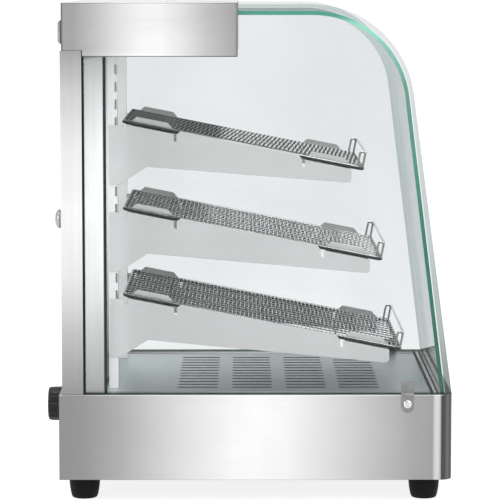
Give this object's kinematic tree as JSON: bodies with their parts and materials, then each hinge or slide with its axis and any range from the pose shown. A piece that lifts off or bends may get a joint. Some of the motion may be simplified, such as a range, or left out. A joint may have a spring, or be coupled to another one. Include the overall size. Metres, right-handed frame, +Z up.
{
  "type": "hot food display case",
  "caption": "Heated countertop display case with curved glass front, sloping wire racks, hinged rear glass door and steel base.",
  "frame": {"origin": "middle of the footprint on the worktop plane, under the feet, with the knob counted in the depth", "axes": "+Z up; -Y towards the customers (curved glass); +Y towards the operator (door and controls); +X towards the hinge side of the door"},
  "size_m": [0.3876, 0.502, 0.61],
  "materials": {
    "brushed_steel": "brushed stainless sheet",
    "satin_steel": "satin stainless sheet",
    "chrome": "bright plated wire and fittings",
    "black_rubber": "matt black rubber",
    "black_plastic": "moulded black plastic",
    "dark_display": "dark display window",
    "white_plastic": "moulded white plastic",
    "red_lens": "red pilot lens",
    "opal_glass": "opal lamp tube",
    "clear_glass": "clear tempered glass with polished green edge",
    "heater_steel": "oxidised heater sheath"
  },
  "bodies": {
    "case": {"base_shell": "brushed_steel", "base_rear_panel": "brushed_steel", "corner_post_left": "brushed_steel", "corner_post_right": "brushed_steel", "header_shell": "brushed_steel", "upright_left": "brushed_steel", "upright_right": "brushed_steel", "base_bottom_plate": "satin_steel", "floor_panel": "satin_steel", "header_tray": "satin_steel", "heater_rail_front": "satin_steel", "heater_rail_rear": "satin_steel", "thermostat_body": "satin_steel", "door_pivot_bottom": "satin_steel", "door_pivot_top": "satin_steel", "bracket_bottom_left": "satin_steel", "bracket_bottom_right": "satin_steel", "bracket_middle_left": "satin_steel", "bracket_middle_right": "satin_steel", "bracket_top_left": "satin_steel", "bracket_top_right": "satin_steel", "glass_clip_left": "chrome", "glass_clip_right": "chrome", "clip_screw_left": "chrome", "clip_screw_right": "chrome", "header_screw_left": "chrome", "header_screw_right": "chrome", "thermometer_bezel": "chrome", "foot_front_left": "black_rubber", "foot_front_right": "black_rubber", "foot_rear_left": "black_rubber", "foot_rear_right": "black_rubber", "pane_seal_left": "black_rubber", "pane_seal_right": "black_rubber", "power_switch_body": "black_plastic", "lamp_switch_body": "black_plastic", "mains_inlet": "black_plastic", "door_catch": "black_plastic", "thermometer_display": "dark_display", "terminal_block": "white_plastic", "lamp_holder_left": "white_plastic", "lamp_holder_right": "white_plastic", "pilot_lamp": "red_lens", "lamp_tube": "opal_glass", "side_glass_left": "clear_glass", "side_glass_right": "clear_glass", "front_glass": "clear_glass", "heater_left": "heater_steel", "heater_right": "heater_steel"},
    "door": {"door_glass": "clear_glass", "door_shoe_bottom": "chrome", "door_shoe_top": "chrome", "door_pull": "chrome"},
    "thermostat_dial": {"thermostat_knob": "black_plastic", "thermostat_shaft": "satin_steel"},
    "power_key": {"power_rocker": "black_plastic"},
    "lamp_key": {"lamp_rocker": "black_plastic"},
    "top_rack": {"rack_top": "chrome"},
    "middle_rack": {"rack_middle": "chrome"},
    "bottom_rack": {"rack_bottom": "chrome"}
  },
  "joints": [
    {"name": "door_hinge", "type": "hinge", "parent": "case", "child": "door", "pos_m": [0.157, 0.2248, 0.341], "axis": [0, 0, -1], "range_deg": [0, 120]},
    {"name": "thermostat_turn", "type": "hinge", "parent": "case", "child": "thermostat_dial", "pos_m": [-0.06, 0.229, 0.1005], "axis": [0, -1, 0], "range_deg": [0, 270]},
    {"name": "power_rock", "type": "hinge", "parent": "case", "child": "power_key", "pos_m": [0.01, 0.2275, 0.1005], "axis": [-1, 0, 0], "range_deg": [0, 20]},
    {"name": "lamp_rock", "type": "hinge", "parent": "case", "child": "lamp_key", "pos_m": [0.045, 0.2275, 0.1005], "axis": [-1, 0, 0], "range_deg": [0, 20]},
    {"name": "top_rack_lift", "type": "slide", "parent": "case", "child": "top_rack", "axis": [0, 0, 1], "range_m": [0, 0.014]},
    {"name": "middle_rack_lift", "type": "slide", "parent": "case", "child": "middle_rack", "axis": [0, 0, 1], "range_m": [0, 0.014]},
    {"name": "bottom_rack_lift", "type": "slide", "parent": "case", "child": "bottom_rack", "axis": [0, 0, 1], "range_m": [0, 0.014]}
  ]
}
